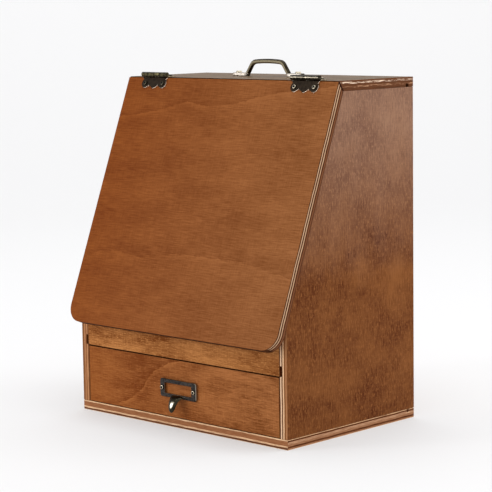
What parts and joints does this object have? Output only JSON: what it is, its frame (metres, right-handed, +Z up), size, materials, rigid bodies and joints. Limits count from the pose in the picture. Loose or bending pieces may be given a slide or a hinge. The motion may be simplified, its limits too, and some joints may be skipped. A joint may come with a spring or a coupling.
{
  "type": "sloping-front artist's box",
  "caption": "Tabletop artist's box in stained plywood with a top-hinged sloping lid, a drawer with a label-holder pull and a small carry handle.",
  "frame": {"origin": "centre of the base board's underside", "axes": "+Z up; the front, with the lid and the drawer, faces -Y; +X is to the right seen from the front"},
  "size_m": [0.268, 0.1926, 0.3335],
  "materials": {
    "stained_ply": "stained and satin-lacquered birch-faced plywood",
    "inner_ply": "stained plywood, thin coat",
    "drawer_ply": "unstained plywood, sanded",
    "beech_dowel": "fluted dowel, unfinished",
    "antique_bronze": "darkened antique bronze plating, worn bright on the edges",
    "brass_screw": "worn brass plating",
    "steel_screw": "zinc plated"
  },
  "bodies": {
    "carcass": {"base_board": "stained_ply", "left_side": "stained_ply", "right_side": "stained_ply", "top_board": "stained_ply", "shelf": "inner_ply", "front_rail": "stained_ply", "back_panel": "inner_ply", "base_screw_left_1": "steel_screw", "base_screw_left_2": "steel_screw", "base_screw_right_1": "steel_screw", "base_screw_right_2": "steel_screw", "top_dowel_left_1": "beech_dowel", "top_dowel_left_2": "beech_dowel", "top_dowel_right_1": "beech_dowel", "top_dowel_right_2": "beech_dowel", "carry_handle": "antique_bronze", "handle_screw_left": "brass_screw", "handle_screw_right": "brass_screw", "hinge_left_top_leaf": "antique_bronze", "hinge_left_pin": "antique_bronze", "hinge_left_top_screw_1": "brass_screw", "hinge_left_top_screw_2": "brass_screw", "hinge_right_top_leaf": "antique_bronze", "hinge_right_pin": "antique_bronze", "hinge_right_top_screw_1": "brass_screw", "hinge_right_top_screw_2": "brass_screw"},
    "lid": {"lid_panel": "stained_ply", "hinge_left_lid_leaf": "antique_bronze", "hinge_left_lid_screw_1": "brass_screw", "hinge_left_lid_screw_2": "brass_screw", "hinge_right_lid_leaf": "antique_bronze", "hinge_right_lid_screw_1": "brass_screw", "hinge_right_lid_screw_2": "brass_screw"},
    "drawer": {"drawer_front": "stained_ply", "drawer_side_left": "drawer_ply", "drawer_side_right": "drawer_ply", "drawer_back": "drawer_ply", "drawer_bottom": "drawer_ply", "label_pull": "antique_bronze", "label_pull_screw_left": "brass_screw", "label_pull_screw_right": "brass_screw"}
  },
  "joints": [
    {"name": "lid_hinge", "type": "hinge", "parent": "carcass", "child": "lid", "pos_m": [0, -0.01864, 0.3194], "axis": [-1, 0, 0], "range_deg": [0, 225]},
    {"name": "drawer_slide", "type": "slide", "parent": "carcass", "child": "drawer", "axis": [0, -1, 0], "range_m": [0, 0.12]}
  ]
}
